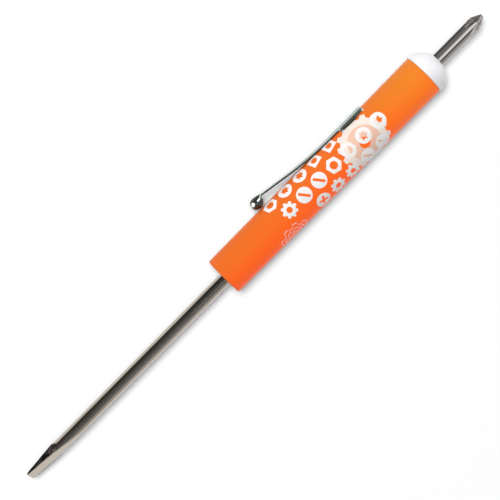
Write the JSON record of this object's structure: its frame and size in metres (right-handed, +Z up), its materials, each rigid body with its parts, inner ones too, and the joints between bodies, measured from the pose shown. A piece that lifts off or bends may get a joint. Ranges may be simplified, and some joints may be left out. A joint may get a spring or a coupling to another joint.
{
  "type": "pocket screwdriver",
  "caption": "Slim pocket screwdriver with a long flat blade, a drafted plastic barrel with a spring clip, and a short fixed cross bit in its domed end cap.",
  "frame": {"origin": "centre of the footprint at the lowest point of the tool as it lies on its side", "axes": "+X along the tool toward the cross bit, +Y toward the pocket clip, +Z up from the surface it lies on"},
  "size_m": [0.1464, 0.0132, 0.0106],
  "materials": {
    "barrel_plastic": "orange moulded plastic, soft gloss, with a white pad print",
    "cap_plastic": "white moulded plastic, soft gloss",
    "plated_steel": "nickel plated round steel with drawn lines and ground faces",
    "clip_steel": "bright nickel plated spring sheet"
  },
  "bodies": {
    "handle": {"handle_barrel": "barrel_plastic", "flat_blade": "plated_steel", "end_cap": "cap_plastic", "cross_bit": "plated_steel", "clip_saddle": "clip_steel"},
    "clip": {"clip_arm": "clip_steel"}
  },
  "joints": [
    {"name": "clip_flex", "type": "hinge", "parent": "handle", "child": "clip", "pos_m": [0.03207, 0.00398, 0.0053], "axis": [0, 0, -1], "range_deg": [0, 7], "stiffness_Nm_per_rad": 0.6, "springref_deg": -1.72}
  ]
}
